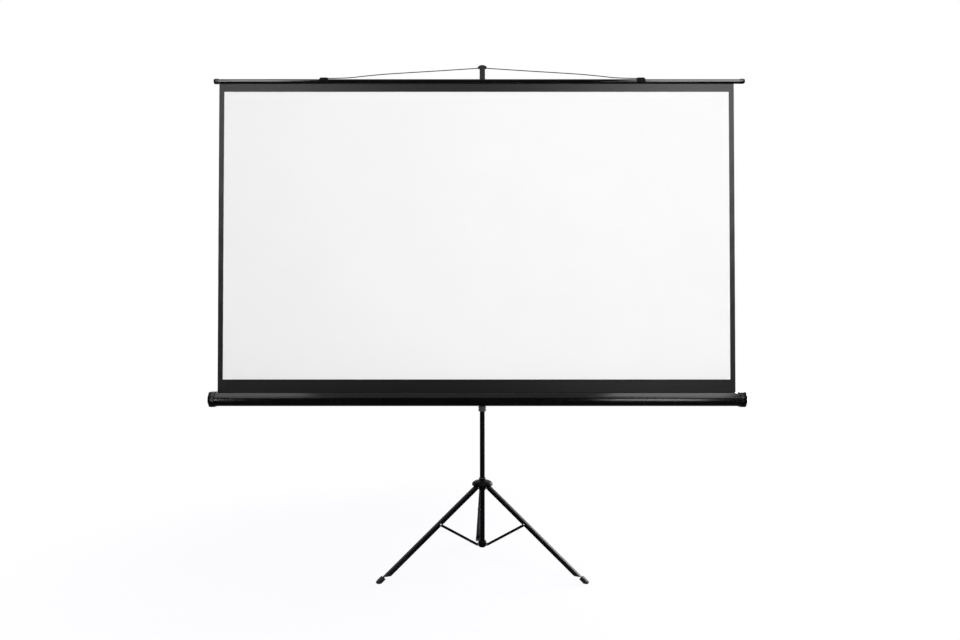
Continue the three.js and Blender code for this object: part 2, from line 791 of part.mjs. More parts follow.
// The bracket on the middle tube that carries the case on a swivel plate and a bolt.
function bracket() {
  const front = caseBackY + plateThickness + 2 * seat;
  const bore = middleRadius + seat;
  const outside = bore + bracketWall;
  const bottom = bracketBottom;
  const top = bracketBottom + bracketHeight;
  const pad = bracketPadHeight / 2;
  const fromAbove = new THREE.Shape([
    new THREE.Vector2(-bracketWidth / 2, front),
    new THREE.Vector2(bracketWidth / 2, front),
    new THREE.Vector2(outside, 0),
    new THREE.Vector2(-outside, 0),
  ]);
  const fromSide = [
    [front, caseMiddle - pad],
    [0, bottom + bracketShoulder],
    [0, top - bracketShoulder],
    [front, caseMiddle + pad],
  ];
  const arm = common(
    prismZ(fromAbove, bottom, top),
    prismX(bentOutline(fromSide, bracketEdge), -bracketWidth, bracketWidth, 4),
  );
  const tubeHole = rodZ(bore, bottom - through, top + through, 24);
  const boltHole = rodY(boltRadius + seat, front - through, front + boltDepth).translate(0, 0, caseMiddle);
  const plateFrom = caseBackY + seat;
  const plateTo = plateFrom + plateThickness;
  const plate = cut(
    rodY(plateRadius, plateFrom, plateTo, 24),
    rodY(boltRadius + seat, plateFrom - through, plateTo + through),
  );
  const inside = caseBackY - caseWall - seat;
  const bolt = join(
    rodY(boltHeadRadius, inside - boltHeadHeight, inside, 6),
    rodY(boltRadius, inside - boltHeadHeight / 2, front + boltDepth - seat),
  );
  const sleeve = ring(bore, outside, bottom, top);
  return [
    blackPlastic("case_bracket", cut(join(sleeve, cut(arm, tubeHole)), boltHole)),
    at(paintedSteel("swivel_plate", plate), 0, 0, caseMiddle),
    at(brightSteel("swivel_bolt", bolt), 0, 0, caseMiddle),
  ];
}

// The roller: a tube with a plug in each end, the turns of fabric that stay on it, and inside its left end
// the fixed shaft with the winding spring and the anchor that the spring turns.
function roller() {
  const lined = (outer, inner, from, to) => ring(inner, outer, from, to, rollerSides).rotateY(Math.PI / 2);
  const end = rollerHalf;
  const flange = end + rollerEndGap - seat;
  const plugged = end - rollerPlugLength;
  const plugRadius = rollerBore - seat;
  const shaftBore = shaftRadius + seat;
  const stubEnd = end + rollerEndGap + capBossLength + capShaftDepth - seat;
  const leftPlug = revolve([
    [shaftBore, plugged], [plugRadius, plugged], [plugRadius, end + seat], [rollerRadius, end + seat],
    [rollerRadius, flange], [shaftBore, flange], [shaftBore, plugged],
  ], rollerSides).rotateY(-Math.PI / 2);
  const rightPlug = revolve([
    [0, plugged], [plugRadius, plugged], [plugRadius, end + seat], [rollerRadius, end + seat],
    [rollerRadius, flange], [shaftRadius, flange], [shaftRadius, stubEnd], [0, stubEnd],
  ], rollerSides).rotateY(Math.PI / 2);
  const anchorEnd = shaftLength - stubEnd;
  const anchor = lined(plugRadius, shaftBore, anchorEnd - anchorLength, anchorEnd);
  return {
    turning: [
      paintedSteel("roller_tube", lined(rollerRadius, rollerBore, -end, end)),
      blackPlastic("roller_plug_left", leftPlug),
      blackPlastic("roller_plug_right", rightPlug),
      blackPlastic("spring_anchor", anchor),
      piece("fabric_roll", fabricRoll(), 0x101011, 0.7),
    ],
    fixed: [
      brightSteel("spring_shaft", rodX(shaftRadius, -stubEnd, anchorEnd - seat)),
      brightSteel("winding_spring", windingSpring(anchorEnd - anchorLength - seat)),
    ],
  };
}

function fabricRoll() {
  const from = fabricOffset - fabricWidth / 2;
  return ring(rollerRadius + seat, rollRadius, from, from + fabricWidth, rollerSides).rotateY(Math.PI / 2);
}

// The winding spring: an open coil close round its shaft.
function windingSpring(last) {
  const radius = shaftRadius + seat + springWire / 2;
  const first = springStart - rollerHalf;
  const steps = springTurns * springSteps;
  const points = Array.from({ length: steps + 1 }, (_, i) => {
    const angle = (2 * Math.PI * springTurns * i) / steps;
    const along = first + (last - springWire - first) * (i / steps);
    return new THREE.Vector3(along, radius * Math.cos(angle), radius * Math.sin(angle));
  });
  const wire = new THREE.Shape().absarc(0, 0, springWire / 2, 0, 2 * Math.PI, false);
  const extrudePath = new THREE.CatmullRomCurve3(points);
  return new THREE.ExtrudeGeometry(wire, { steps, extrudePath, curveSegments: 2 });
}

// Screen

// The fabric: a thin sheet from the roller through the slot to the bar, leaning back a little on its way up.
function fabric() {
  const half = fabricThickness / 2;
  const top = barHeight - barRadius + fabricInBar;
  const section = new THREE.Shape([
    new THREE.Vector2(fabricY - half, caseMiddle),
    new THREE.Vector2(fabricY + half, caseMiddle),
    new THREE.Vector2(barY + half, top),
    new THREE.Vector2(barY - half, top),
  ]);
  const from = caseOffset + fabricOffset - fabricWidth / 2;
  return piece("screen_fabric", prismX(section, from, from + fabricWidth), 0xf2f2f0, 0.9);
}

// The bar: a tube with a slit below for the fabric's edge, and a ringed cap over each end.
function bar() {
  const tubeHalf = barHalf - barCapEnd - seat;
  const opening = (radius) => Math.asin(barSlit / 2 / radius);
  const inner = barRadius - barWall;
  const down = -Math.PI / 2;
  const section = new THREE.Shape();
  section.absarc(0, 0, barRadius, down + opening(barRadius), down + 2 * Math.PI - opening(barRadius), false);
  section.absarc(0, 0, inner, down + 2 * Math.PI - opening(inner), down + opening(inner), true);
  section.closePath();
  const mouth = barHalf - barCapLength;
  const shoulder = barHalf - barCapEnd;
  const groove = barCapRadius - barCapGroove;
  const grooveTo = barHalf - barCapGrooveFrom;
  const grooveFrom = grooveTo - barCapGrooveWidth;
  const capProfile = [
    [0, barHalf], [barRadius, barHalf - barCapDome], [barCapRadius, shoulder], [barCapRadius, grooveTo],
    [groove, grooveTo - barCapGroove], [groove, grooveFrom + barCapGroove], [barCapRadius, grooveFrom],
    [barCapRadius, mouth], [barRadius + seat, mouth], [barRadius + seat, shoulder], [0, shoulder],
  ];
  const cap = (side) => revolve(capProfile, 18).rotateY((side * Math.PI) / 2);
  return [
    glossSteel("bar_tube", prismX(section, -tubeHalf, tubeHalf, 12)),
    blackPlastic("bar_cap_left", cap(-1)),
    blackPlastic("bar_cap_right", cap(1)),
  ];
}

// A clip on the bar: a band over the top of it, and a boss that takes the end of the hanger wire.
function wireClip(name, side) {
  const from = side * clipFromMast - clipLength / 2;
  const to = from + clipLength;
  const hold = barRadius + seat;
  const bandTop = hold + clipBand;
  const lean = radians(clipWrap);
  const band = new THREE.Shape();
  band.absarc(0, 0, bandTop, -lean, Math.PI + lean, false);
  band.absarc(0, 0, hold, Math.PI + lean, -lean, true);
  band.closePath();
  const half = clipBossWidth / 2;
  const corners = [
    [-half, 0],
    [half, 0],
    [half, clipBossTop],
    [-half, clipBossTop],
  ];
  const fromSide = new THREE.Shape([
    new THREE.Vector2(from, 0),
    new THREE.Vector2(to, 0),
    new THREE.Vector2(to, bandTop),
    new THREE.Vector2(to - clipSlope, clipBossTop + through),
    new THREE.Vector2(from + clipSlope, clipBossTop + through),
    new THREE.Vector2(from, bandTop),
  ]);
  const boss = common(prismX(bentOutline(corners, half / 2), from, to, 3), prismY(fromSide, -half, half));
  const deep = wireInClip + seat;
  const [holeFrom, holeTo] = side < 0 ? [to - deep, to + through] : [from - through, from + deep];
  const hole = rodX(wireRadius + seat, holeFrom, holeTo).translate(0, 0, wireRise);
  const barSpace = rodX(hold, from - through, to + through, 24);
  const seated = cut(boss, barSpace);
  return blackPlastic(name, cut(join(prismX(band, from, to, 8), seated), hole));
}

// A smooth curve with as many steps between any two of its points, so they lie closest round tight bends.
class StepCurve extends THREE.CatmullRomCurve3 {
  getUtoTmapping(u) {
    return u;
  }
}

// The hanger wire: a spring wire bent to the saddle in its middle and held by its ends in the clips.
function hangerWire() {
  const { clamp, lerp, mapLinear } = THREE.MathUtils;
  const end = clipFromMast - clipLength / 2;
  const rise = saddleCentre - barHeight;
  const leaves = hookCrown - wireLeaveDrop;
  const overSaddle = Array.from({ length: wireBedSteps + 1 }, (_, i) => {
    const x = (wireOnBed * i) / wireBedSteps;
    return [x, rise + Math.sqrt(wireOnSaddle ** 2 - x ** 2)];
  });
  const run = wireRun.map(([out, drop]) => [lerp(wireLeave, end, out), lerp(wireRise, leaves, drop)]);
  const inClip = [end - wireLead, end + wireLead / 4, end + wireInClip].map((x) => [x, wireRise]);
  const leanBack = (x) => mapLinear(clamp(x, wireLeave, end), wireLeave, end, saddleY, barY);
  const half = [...overSaddle, ...run, ...inClip];
  const right = half.map(([x, up]) => new THREE.Vector3(x, leanBack(x), barHeight + up));
  const left = right.slice(1).reverse().map(({ x, y, z }) => new THREE.Vector3(-x, y, z));
  const points = [...left, ...right];
  const extrudePath = new StepCurve(points, false, "centripetal");
  const steps = 2 * (points.length - 1);
  const round = new THREE.Shape().absarc(0, 0, wireRadius, 0, 2 * Math.PI, false);
  const wire = new THREE.ExtrudeGeometry(round, { steps, extrudePath, curveSegments: 3 });
  return piece("hanger_wire", wire, 0x2a2a2c, 0.35, 0.8);
}

// Assembly

const assembly = new THREE.Group();
assembly.add(...column(), ...hub(), ...legs.map(standingLeg));
assembly.add(clampKnob(), middleTube(), extensionClamp(), releaseButton(), ...bracket());
assembly.add(extensionTube(), hook(), fabric(), hangerWire());

const caseFrame = new THREE.Group();
caseFrame.position.set(caseOffset, caseMiddleY, caseMiddle);
caseFrame.add(caseShell(), caseCap("case_cap_left", -1), caseCap("case_cap_right", 1));

const rollerFrame = new THREE.Group();
rollerFrame.position.set(caseOffset, rollerY, caseMiddle);
const { turning, fixed } = roller();
rollerFrame.add(...turning, ...fixed);

const barFrame = new THREE.Group();
barFrame.position.set(caseOffset + barOffset, barY, barHeight);
barFrame.add(...bar());

const clipFrame = new THREE.Group();
clipFrame.position.set(0, barY, barHeight);
clipFrame.add(wireClip("wire_clip_left", -1), wireClip("wire_clip_right", 1));

assembly.add(caseFrame, rollerFrame, barFrame, clipFrame);

// The origin is on the floor, under the middle of the object's box.
const box = new THREE.Box3().setFromObject(assembly, true);
const middle = box.getCenter(new THREE.Vector3());
assembly.position.set(-middle.x, -middle.y, 0);

const tripodScreen = new THREE.Group();
tripodScreen.add(assembly);

export default tripodScreen;
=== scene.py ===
# %% [markdown]
# A tripod projection screen, dressed for a studio photograph.
#
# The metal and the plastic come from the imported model, which this script loads as a fixed frame in metres.
# Blender is left with what a CAD solid can't show: cloth that hangs a little uneven, a drawn wire, and
# finishes that catch the light as paint, moulded plastic, rubber and vinyl do. Modelling everything again
# would give two models to keep in step, so each piece here is a solid of the frame or sits on one.

# %% Frame
import functools
import json
import math

import bpy
import numpy as np
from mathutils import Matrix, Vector


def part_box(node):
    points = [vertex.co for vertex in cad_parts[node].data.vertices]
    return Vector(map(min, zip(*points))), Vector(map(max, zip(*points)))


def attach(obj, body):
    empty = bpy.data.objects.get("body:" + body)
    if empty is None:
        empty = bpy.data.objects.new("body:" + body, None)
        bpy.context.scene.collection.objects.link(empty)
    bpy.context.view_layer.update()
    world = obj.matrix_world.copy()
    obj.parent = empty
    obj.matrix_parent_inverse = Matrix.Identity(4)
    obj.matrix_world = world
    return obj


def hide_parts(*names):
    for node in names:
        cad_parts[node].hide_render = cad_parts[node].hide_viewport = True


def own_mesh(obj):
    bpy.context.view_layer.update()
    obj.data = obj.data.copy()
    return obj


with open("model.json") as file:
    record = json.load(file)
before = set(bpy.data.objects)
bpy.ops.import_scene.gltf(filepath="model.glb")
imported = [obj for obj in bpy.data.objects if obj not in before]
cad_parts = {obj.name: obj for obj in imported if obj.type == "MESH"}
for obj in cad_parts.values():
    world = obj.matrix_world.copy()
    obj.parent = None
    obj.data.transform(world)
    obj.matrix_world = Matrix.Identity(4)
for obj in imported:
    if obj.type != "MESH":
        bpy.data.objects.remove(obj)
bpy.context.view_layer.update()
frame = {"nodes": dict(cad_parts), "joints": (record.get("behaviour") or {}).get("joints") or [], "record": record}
nodes = frame["nodes"]

# %% [markdown]
# New pieces have to sit on the model. Their places could be typed in as numbers, but a longer mast or a
# wider screen would then leave them behind. So a few places are read from the frame: the mast's axis, the
# bar's axis, the top of the case and the fabric's box. The bar is a tube with a slit below, so its axis is
# found from its top and its depth.

# %% Places on the frame
MM = 0.001


def span(node):
    """A node's lowest and highest corners as two arrays, in metres."""
    low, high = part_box(node)
    return np.array(low), np.array(high)


column_low, column_high = span("column_tube")
bar_low, bar_high = span("bar_tube")
sheet_low, sheet_high = span("screen_fabric")
sheet_size = sheet_high - sheet_low
case_top = span("case_shell")[1][2]
mast = (column_low + column_high) / 2
bar_axis = (bar_low + bar_high) / 2
bar_axis[2] = bar_high[2] - (bar_high[1] - bar_low[1]) / 2
print("mast axis at", mast[:2].round(4), "bar axis at", bar_axis.round(4))

# %% [markdown]
# A finish is a network of small nodes. It could be wired in the shader editor, or node by node in code, but
# its sums then get lost among the wires. Here a Signal wraps one output socket, and adding or multiplying
# Signals adds the Math node that does it, so a sum reads as a sum.

# %% A socket in a sum
class Signal:
    """One output socket of a material, used in sums: a * 2 + b becomes two Math nodes."""

    def __init__(self, finish, socket):
        self.finish = finish
        self.socket = socket

    def math(self, operation, *terms):
        """One Math node on these terms, which are Signals or plain numbers."""
        return self.finish.node("Math", {"operation": operation}, dict(enumerate(terms)))

    def __add__(self, other):
        return self.math("ADD", self, other)

    def __sub__(self, other):
        return self.math("SUBTRACT", self, other)

    def __rsub__(self, other):
        return self.math("SUBTRACT", other, self)

    def __mul__(self, other):
        return self.math("MULTIPLY", self, other)

    def __abs__(self):
        return self.math("ABSOLUTE", self)

    __radd__ = __add__
    __rmul__ = __mul__

    def larger(self, other):
        """The larger of two Signals, point by point."""
        return self.math("MAXIMUM", self, other)

    def ramp(self, low, high):
        """0 below low, 1 above high, and a smooth step between."""
        inputs = {"Value": self, "From Min": low, "From Max": high}
        return self.finish.node("MapRange", {"interpolation_type": "SMOOTHSTEP"}, inputs)


print("a Signal adds, subtracts, multiplies, takes a size and ramps")

# %% [markdown]
# A Finish is one material in the making. Each kind of node could have a method of its own, but one is
# enough: `node` makes any node, sets its options first, and then fills or links its sockets. The others are
# short names for what every finish here uses: a place, a noise, a mix of colours, a bump.

# %% A material in the making
class Finish:
    """A material or the world's sky in the making: its node tree, its coordinates and its surface."""

    def __init__(self, name, world=None):
        self.made = world or bpy.data.materials.new(name)
        self.made.use_nodes = True
        self.tree = self.made.node_tree
        self.surface = self.tree.nodes["Background" if world else "Principled BSDF"]

    def fill(self, socket, value):
        """Links a Signal to an input, or sets a plain value on it."""
        if isinstance(value, Signal):
            self.tree.links.new(value.socket, socket)
        else:
            socket.default_value = value

    def node(self, kind, settings=None, inputs=None, out=0):
        """Any shader node: its options, then its inputs by name or number. Returns one output."""
        made = self.tree.nodes.new("ShaderNode" + kind)
        for option, value in (settings or {}).items():
            setattr(made, option, value)
        for key, value in (inputs or {}).items():
            self.fill(made.inputs[key], value)
        return Signal(self, made.outputs[out])

    def place(self, scale=(1, 1, 1), turn=(0, 0, 0)):
        """Object coordinates, stretched and turned."""
        coordinates = self.node("TexCoord", out="Object")
        return self.node("Mapping", {}, {"Vector": coordinates, "Scale": scale, "Rotation": turn})

    def along(self, axis, where=None):
        """One of the three coordinates: 0, 1 or 2 for x, y or z."""
        return self.node("SeparateXYZ", {}, {0: where or self.place()}, out=axis)

    def noise(self, scale, detail=2.0, roughness=0.5, where=None):
        """Soft random clouds, about this many to the metre."""
        inputs = {"Scale": scale, "Detail": detail, "Roughness": roughness, "Vector": where or self.place()}
        return self.node("TexNoise", {}, inputs)

    def mix(self, amount, first, second):
        """Two colours blended by an amount from 0 to 1. A Mix node has its colours at inputs 6 and 7."""
        inputs = {0: amount, 6: first, 7: second}
        return self.node("Mix", {"data_type": "RGBA"}, inputs, out=2)

    def bump(self, height, depth, strength=1.0, under=None):
        """A bump of a real depth in metres, on top of another bump where one is given."""
        inputs = {"Height": height, "Distance": depth, "Strength": strength}
        if under:
            inputs["Normal"] = under
        return self.node("Bump", {}, inputs)

    def rays(self, *kinds):
        """1 for rays of any of these kinds, such as Is Camera Ray, and 0 for the others."""
        found = [self.node("LightPath", out=kind) for kind in kinds]
        return functools.reduce(Signal.larger, found)

    def done(self, **sockets):
        """Fills the surface's sockets, named with underscores for spaces, and returns the material."""
        for name, value in sockets.items():
            self.fill(self.surface.inputs[name.replace("_", " ")], value)
        return self.made


COOLER = 1.02


def grey(level):
    """A grey with a little more blue than red and green, as black paint and rubber have."""
    return (level, level, level * COOLER, 1)


print("a Finish makes a material; a grey of 0.5 is", grey(0.5))

# %% [markdown]
# Paint first. The legs, struts and tubes are powder-coated steel: black with a fine orange peel, a little
# dust low down, and hairline scratches that run up the metal. A picture of paint could be wrapped round
# them, but it would show its seams; noise in object space has none and keeps its scale on every piece. The
# case, the bar and the upper tubes have a harder, glossier coat of the same kind, so one function makes
# them all.

# %% Black paints
CLOUDY = (0.3, 0.7)
COAT_CLOUDS = 9.0
COAT_PATCH = {"share": 0.6, "lighter": 1.7, "rougher": 0.05}
PEEL_CELLS = 1400.0
HAIR_CELLS = 120.0
HAIR_STRETCH = (1, 1, 0.02)
HAIR_TURN = (0.2, 0.1, 0)
HAIR_FROM = (0.68, 0.74)
HAIR = {"share": 0.35, "grey": 0.05, "rougher": 0.12, "depth": 0.01 * MM, "strength": 0.4}
SPECK_CELLS = 260.0
SPECK_FROM = (0.45, 0.75)
DUST_COLOUR = (0.08, 0.075, 0.07, 1)
DUST = {"share": 0.4, "rougher": 0.25}


def painted(name, level, gloss, peel, shine, dust_height=0.0):
    """Powder coat: fine noise lifts the peel, long thin noise cuts hairlines, slow noise clouds the colour,
    and dust is specks times one minus the height's ramp."""
    finish = Finish(name)
    cloud = finish.noise(COAT_CLOUDS, detail=3.0)
    scratches = finish.noise(HAIR_CELLS, roughness=0.6, where=finish.place(HAIR_STRETCH, HAIR_TURN))
    hairline = scratches.ramp(*HAIR_FROM)
    patch = cloud.ramp(*CLOUDY) * COAT_PATCH["share"]
    colour = finish.mix(patch, grey(level), grey(level * COAT_PATCH["lighter"]))
    colour = finish.mix(hairline * HAIR["share"], colour, grey(HAIR["grey"]))
    rough = gloss + cloud * COAT_PATCH["rougher"] + hairline * HAIR["rougher"]
    if dust_height:
        speck = finish.noise(SPECK_CELLS, detail=3.0).ramp(*SPECK_FROM)
        dust = (1 - finish.along(2).ramp(0.0, dust_height)) * speck
        colour = finish.mix(dust * DUST["share"], colour, DUST_COLOUR)
        rough = rough + dust * DUST["rougher"]
    normal = finish.bump(finish.noise(PEEL_CELLS, detail=1.0), peel)
    normal = finish.bump(hairline, HAIR["depth"], HAIR["strength"], normal)
    return finish.done(Base_Color=colour, Roughness=rough, Specular_IOR_Level=shine, Normal=normal)


satin_paint = painted(
    "satin_black_paint", level=0.002, gloss=0.34, peel=0.03 * MM, shine=0.08, dust_height=0.16
)
gloss_paint = painted("gloss_black_paint", level=0.002, gloss=0.03, peel=0.005 * MM, shine=0.8)
case_paint = painted("case_black_paint", level=0.002, gloss=0.1, peel=0.01 * MM, shine=0.4)
wire_paint = painted("wire_black", level=0.004, gloss=0.3, peel=0.005 * MM, shine=0.2)
print("paints:", satin_paint.name, gloss_paint.name, case_paint.name, wire_paint.name)

# %% [markdown]
# Moulded plastic has the skin of its mould. Most pieces come from a spark-eroded mould, whose grain breaks
# the highlight up. The bar's caps come from a polished one, and the case's caps lie between. The hook and
# the collar under the case are of a greyer plastic. The grain could be sculpted, but at half a millimetre
# it is far smaller than the faces, so it is a bump of small cells.

# %% Moulded plastics
GRAIN_CELLS = 2200.0
SKIN_CLOUDS = 40.0
SKIN_PATCH = {"lighter": 1.5, "rougher": 0.12}


def moulded(name, level, rough, grain, shine):
    """Spark-eroded skin: a cell texture for the grain's bump, slow noise for colour and gloss."""
    finish = Finish(name)
    cells = finish.node("TexVoronoi", {}, {"Scale": GRAIN_CELLS, "Vector": finish.place()})
    cloud = finish.noise(SKIN_CLOUDS, detail=3.0)
    colour = finish.mix(cloud.ramp(*CLOUDY), grey(level), grey(level * SKIN_PATCH["lighter"]))
    rough = rough + cloud * SKIN_PATCH["rougher"]
    normal = finish.bump(cells, grain)
    return finish.done(Base_Color=colour, Roughness=rough, Specular_IOR_Level=shine, Normal=normal)


moulded_plastic = moulded("moulded_black_plastic", level=0.002, rough=0.38, grain=0.05 * MM, shine=0.08)
polished_plastic = moulded("polished_black_plastic", level=0.002, rough=0.06, grain=0.004 * MM, shine=0.5)
cap_plastic = moulded("semi_gloss_black_plastic", level=0.002, rough=0.12, grain=0.01 * MM, shine=0.42)
charcoal_plastic = moulded("charcoal_plastic", level=0.016, rough=0.4, grain=0.05 * MM, shine=0.2)
grey_plastic = moulded("dark_grey_plastic", level=0.08, rough=0.4, grain=0.05 * MM, shine=0.3)
plastics = (moulded_plastic, polished_plastic, cap_plastic, charcoal_plastic, grey_plastic)
print("plastics:", [plastic.name for plastic in plastics])

# %% [markdown]
# The boots are black rubber. It is duller than plastic, and grey where it has been scuffed on the floor.
# The scuffs could be painted by hand; a noise that fades out with height puts them where a boot really
# wears.

# %% Boot rubber
SPECKLE_CELLS = 900.0
SPECKLE_DEPTH = 0.08 * MM
RUBBER_DARK, RUBBER_PALE = 0.006, 0.014
SCUFF_CELLS = 150.0
SCUFF_FROM = (0.5, 0.72)
SCUFF_FADE = (2 * MM, 22 * MM)
SCUFF_COLOUR = (0.085, 0.08, 0.075, 1)
SCUFF = {"share": 0.5, "rougher": 0.2}
RUBBER_ROUGH = 0.6
RUBBER_SHINE = 0.3


def rubber():
    """Fine speckle in colour and bump; scuffs are a coarser noise times one minus the height's ramp."""
    finish = Finish("boot_rubber")
    speckle = finish.noise(SPECKLE_CELLS)
    worn = finish.noise(SCUFF_CELLS, detail=4.0, roughness=0.65).ramp(*SCUFF_FROM)
    scuff = worn * (1 - finish.along(2).ramp(*SCUFF_FADE))
    colour = finish.mix(speckle, grey(RUBBER_DARK), grey(RUBBER_PALE))
    colour = finish.mix(scuff * SCUFF["share"], colour, SCUFF_COLOUR)
    rough = RUBBER_ROUGH + scuff * SCUFF["rougher"]
    normal = finish.bump(speckle, SPECKLE_DEPTH)
    return finish.done(Base_Color=colour, Roughness=rough, Specular_IOR_Level=RUBBER_SHINE, Normal=normal)


boot_rubber = rubber()
print("rubber:", boot_rubber.name)

# %% [markdown]
# Rivets, pins and the bolt are zinc-plated steel, and the hub slides on a bush of pale nylon. Both could be
# one plain colour, but plate has a cloudy gloss with fine marks, and nylon is waxy and a little mottled.

# %% Plated steel and nylon
PLATE_CLOUDS = 350.0
PLATE_MARKS = 2600.0
MARK_DEPTH = 0.01 * MM
PLATE_DARK, PLATE_BRIGHT = (0.6, 0.61, 0.62, 1), (0.74, 0.74, 0.73, 1)
PLATE_ROUGH, PLATE_ROUGHER = 0.34, 0.2
NYLON_CLOUDS = 60.0
MOTTLE_DEPTH = 0.05 * MM
NYLON_DARK, NYLON_PALE = (0.64, 0.62, 0.55, 1), (0.72, 0.7, 0.64, 1)
NYLON_ROUGH, NYLON_ROUGHER = 0.42, 0.15


def plated_steel():
    """Zinc plate: metal whose colour and gloss follow one noise, with finer noise as a bump."""
    finish = Finish("plated_steel")
    cloud = finish.noise(PLATE_CLOUDS, detail=3.0)
    colour = finish.mix(cloud, PLATE_DARK, PLATE_BRIGHT)
    rough = PLATE_ROUGH + cloud * PLATE_ROUGHER
    normal = finish.bump(finish.noise(PLATE_MARKS, detail=1.0), MARK_DEPTH)
    return finish.done(Base_Color=colour, Metallic=1.0, Roughness=rough, Normal=normal)


def nylon():
    """Pale nylon: one noise for its colour, gloss and shallow mottle."""
    finish = Finish("pale_nylon")
    cloud = finish.noise(NYLON_CLOUDS, detail=3.0)
    colour = finish.mix(cloud, NYLON_DARK, NYLON_PALE)
    rough = NYLON_ROUGH + cloud * NYLON_ROUGHER
    normal = finish.bump(cloud, MOTTLE_DEPTH)
    return finish.done(Base_Color=colour, Roughness=rough, Normal=normal)


steel = plated_steel()
pale_nylon = nylon()
print("metal and nylon:", steel.name, pale_nylon.name)

# %% [markdown]
# The screen's front is coated vinyl, matt white with a printed black border. The border could be separate
# strips of mesh, but print has no thickness and a sharp edge. So it is worked out in the material, from the
# sheet's own UV map, which is in metres from the lower left corner. A fine emboss stops the white from
# glaring.

# %% Screen vinyl, front
PICTURE_WIDTH = 2.214
PICTURE_HEIGHT = 1.261
BOTTOM_BORDER = 56.6 * MM
PRINT_EDGE = 0.4 * MM
VINYL_CLOUDS = 3.0
WHITE_DULL, WHITE_BRIGHT = (0.9, 0.9, 0.895, 1), (0.93, 0.93, 0.925, 1)
BORDER_DARK, BORDER_PALE = 0.002, 0.0035
BORDER_ROUGH = 0.38
WHITE_ROUGHER = 0.48
VINYL_SHINE = 0.48
EMBOSS_CELLS = 1600.0
EMBOSS_DEPTH = 0.04 * MM
EMBOSS_ROUGHER = 0.05


def within(place, middle, size):
    """1 where a coordinate is less than half the size from the middle, 0 past it, and a thin ramp between."""
    return 1 - abs(place - middle).ramp(size / 2 - PRINT_EDGE, size / 2 + PRINT_EDGE)


def screen_front(width, picture_from):
    """White inside the picture and black round it. Inside is the product of two bands, across and up."""
    finish = Finish("screen_front")
    uv = finish.node("TexCoord", out="UV")
    inside = within(finish.along(0, uv), width / 2, PICTURE_WIDTH)
    inside = inside * within(finish.along(1, uv), picture_from + PICTURE_HEIGHT / 2, PICTURE_HEIGHT)
    cloud = finish.noise(VINYL_CLOUDS, detail=3.0, where=uv)
    emboss = finish.noise(EMBOSS_CELLS, detail=1.0, where=uv)
    white = finish.mix(cloud, WHITE_DULL, WHITE_BRIGHT)
    black = finish.mix(cloud, grey(BORDER_DARK), grey(BORDER_PALE))
    colour = finish.mix(inside, black, white)
    rough = BORDER_ROUGH + inside * WHITE_ROUGHER + emboss * EMBOSS_ROUGHER
    normal = finish.bump(emboss, EMBOSS_DEPTH)
    return finish.done(Base_Color=colour, Roughness=rough, Specular_IOR_Level=VINYL_SHINE, Normal=normal)


print("picture", PICTURE_WIDTH, "by", PICTURE_HEIGHT, "m, with", BOTTOM_BORDER, "m of border below it")

# %% [markdown]
# The back of the screen is black, so that no light comes through, and shows the cloth that carries the
# vinyl. The turns that stay on the roller are seen edge on. A weave could be modelled thread by thread, but
# threads of this size would be millions of faces, so two crossed waves bump the back, and long thin noise
# lines the roll.

# %% Screen vinyl, back and roll
WEAVE = 260.0
WEAVE_DEPTH = 0.06 * MM
BACK_CLOUDS = 4.0
BACK_DARK, BACK_PALE = 0.012, 0.02
BACK_ROUGH, BACK_ROUGHER = 0.62, 0.1
BACK_SHINE = 0.3
ROLL_CLOUDS = 30.0
ROLL_DARK, ROLL_PALE = 0.01, 0.018
ROLL_ROUGH, ROLL_ROUGHER = 0.55, 0.1
TURNS = 500.0
TURN_STRETCH = (0.01, 1, 1)
TURN_DEPTH = 0.1 * MM


def screen_back():
    """Black backing: the product of a wave across and a wave up is the weave's height."""
    finish = Finish("screen_back")
    uv = finish.node("TexCoord", out="UV")
    warp = finish.node("TexWave", {"bands_direction": "X"}, {"Scale": WEAVE, "Vector": uv}, out=1)
    weft = finish.node("TexWave", {"bands_direction": "Y"}, {"Scale": WEAVE, "Vector": uv}, out=1)
    cloud = finish.noise(BACK_CLOUDS, detail=3.0, where=uv)
    colour = finish.mix(cloud, grey(BACK_DARK), grey(BACK_PALE))
    rough = BACK_ROUGH + cloud * BACK_ROUGHER
    normal = finish.bump(warp * weft, WEAVE_DEPTH)
    return finish.done(Base_Color=colour, Roughness=rough, Specular_IOR_Level=BACK_SHINE, Normal=normal)


def roll_cloth():
    """The turns on the roller: noise stretched along the roller, so that it draws a line for each turn."""
    finish = Finish("rolled_vinyl")
    cloud = finish.noise(ROLL_CLOUDS)
    turns = finish.noise(TURNS, where=finish.place(TURN_STRETCH))
    colour = finish.mix(cloud, grey(ROLL_DARK), grey(ROLL_PALE))
    rough = ROLL_ROUGH + cloud * ROLL_ROUGHER
    normal = finish.bump(turns, TURN_DEPTH)
    return finish.done(Base_Color=colour, Roughness=rough, Normal=normal)


rolled_vinyl = roll_cloth()
print("rolled cloth:", rolled_vinyl.name)

# %% [markdown]
# The frame's solids are made of flat facets, and their mesh isn't to be changed. Finer facets would only
# hide the problem. Instead one modifier, a small group of geometry nodes, joins the loose triangles and
# smooths every edge that bends by less than a clear corner, so that a tube shades round and a fold stays
# sharp.

# %% Smooth shading for the solids
CORNER = math.radians(38)
JOIN_WITHIN = 0.01 * MM
SHADING_NODES = {
    "start": "NodeGroupInput",
    "forget": "GeometryNodeRemoveAttribute",
    "merge": "GeometryNodeMergeByDistance",
    "smooth": "GeometryNodeSetShadeSmooth",
    "angle": "GeometryNodeInputMeshEdgeAngle",
    "corner": "FunctionNodeCompare",
    "sharp": "GeometryNodeSetShadeSmooth",
    "end": "NodeGroupOutput",
}
SHADING_CHAIN = ("start", "forget", "merge", "smooth", "sharp", "end")


